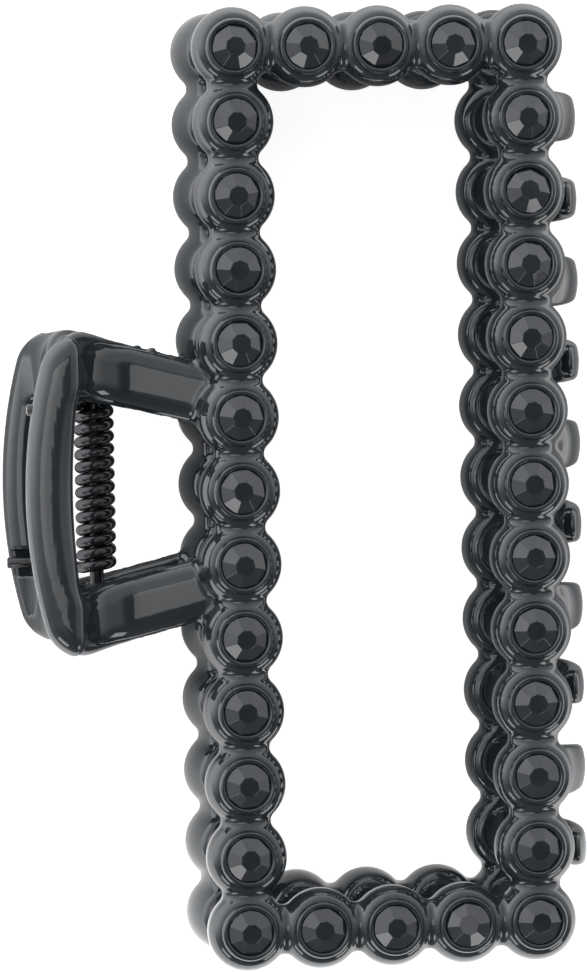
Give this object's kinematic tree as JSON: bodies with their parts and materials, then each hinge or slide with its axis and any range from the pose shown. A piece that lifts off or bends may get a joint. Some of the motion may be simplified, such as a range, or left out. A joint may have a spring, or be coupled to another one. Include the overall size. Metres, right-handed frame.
{
  "type": "claw hair clip",
  "caption": "Large rectangular open-frame claw hair clip with beaded jaws set with faceted stones, loop handles, a sprung hinge and interleaving teeth.",
  "frame": {"origin": "centre of the clip's outline on the plane of the rear grip's outer face, which is the surface that the clip lies on", "axes": "+X from the handles to the teeth, +Y along the hinge pin and the long sides, +Z from the rear jaw to the front jaw"},
  "size_m": [0.0632, 0.1048, 0.028],
  "materials": {
    "black_plastic": "glossy moulded black",
    "dark_steel": "blackened spring wire",
    "jet_stone": "polished faceted black"
  },
  "bodies": {
    "rear_half": {"rear_jaw": "black_plastic", "hinge_pin": "dark_steel", "torsion_spring": "dark_steel", "rear_handle_side_stone_1": "jet_stone", "rear_handle_side_stone_2": "jet_stone", "rear_handle_side_stone_3": "jet_stone", "rear_handle_side_stone_4": "jet_stone", "rear_handle_side_stone_5": "jet_stone", "rear_handle_side_stone_6": "jet_stone", "rear_handle_side_stone_7": "jet_stone", "rear_handle_side_stone_8": "jet_stone", "rear_handle_side_stone_9": "jet_stone", "rear_handle_side_stone_10": "jet_stone", "rear_handle_side_stone_11": "jet_stone", "rear_handle_side_stone_12": "jet_stone", "rear_handle_side_stone_13": "jet_stone", "rear_tooth_side_stone_1": "jet_stone", "rear_tooth_side_stone_2": "jet_stone", "rear_tooth_side_stone_3": "jet_stone", "rear_tooth_side_stone_4": "jet_stone", "rear_tooth_side_stone_5": "jet_stone", "rear_tooth_side_stone_6": "jet_stone", "rear_tooth_side_stone_7": "jet_stone", "rear_tooth_side_stone_8": "jet_stone", "rear_tooth_side_stone_9": "jet_stone", "rear_tooth_side_stone_10": "jet_stone", "rear_tooth_side_stone_11": "jet_stone", "rear_tooth_side_stone_12": "jet_stone", "rear_tooth_side_stone_13": "jet_stone", "rear_upper_end_stones": "jet_stone", "rear_lower_end_stones": "jet_stone"},
    "front_half": {"front_jaw": "black_plastic", "front_handle_side_stone_1": "jet_stone", "front_handle_side_stone_2": "jet_stone", "front_handle_side_stone_3": "jet_stone", "front_handle_side_stone_4": "jet_stone", "front_handle_side_stone_5": "jet_stone", "front_handle_side_stone_6": "jet_stone", "front_handle_side_stone_7": "jet_stone", "front_handle_side_stone_8": "jet_stone", "front_handle_side_stone_9": "jet_stone", "front_handle_side_stone_10": "jet_stone", "front_handle_side_stone_11": "jet_stone", "front_handle_side_stone_12": "jet_stone", "front_handle_side_stone_13": "jet_stone", "front_tooth_side_stone_1": "jet_stone", "front_tooth_side_stone_2": "jet_stone", "front_tooth_side_stone_3": "jet_stone", "front_tooth_side_stone_4": "jet_stone", "front_tooth_side_stone_5": "jet_stone", "front_tooth_side_stone_6": "jet_stone", "front_tooth_side_stone_7": "jet_stone", "front_tooth_side_stone_8": "jet_stone", "front_tooth_side_stone_9": "jet_stone", "front_tooth_side_stone_10": "jet_stone", "front_tooth_side_stone_11": "jet_stone", "front_tooth_side_stone_12": "jet_stone", "front_tooth_side_stone_13": "jet_stone", "front_upper_end_stones": "jet_stone", "front_lower_end_stones": "jet_stone"}
  },
  "joints": [
    {"name": "jaw_hinge", "type": "hinge", "parent": "rear_half", "child": "front_half", "pos_m": [-0.02262, 0, 0.014], "axis": [0, -1, 0], "range_deg": [0, 90], "stiffness_Nm_per_rad": 0.058, "springref_deg": -89.95, "deforming": ["torsion_spring"]}
  ]
}
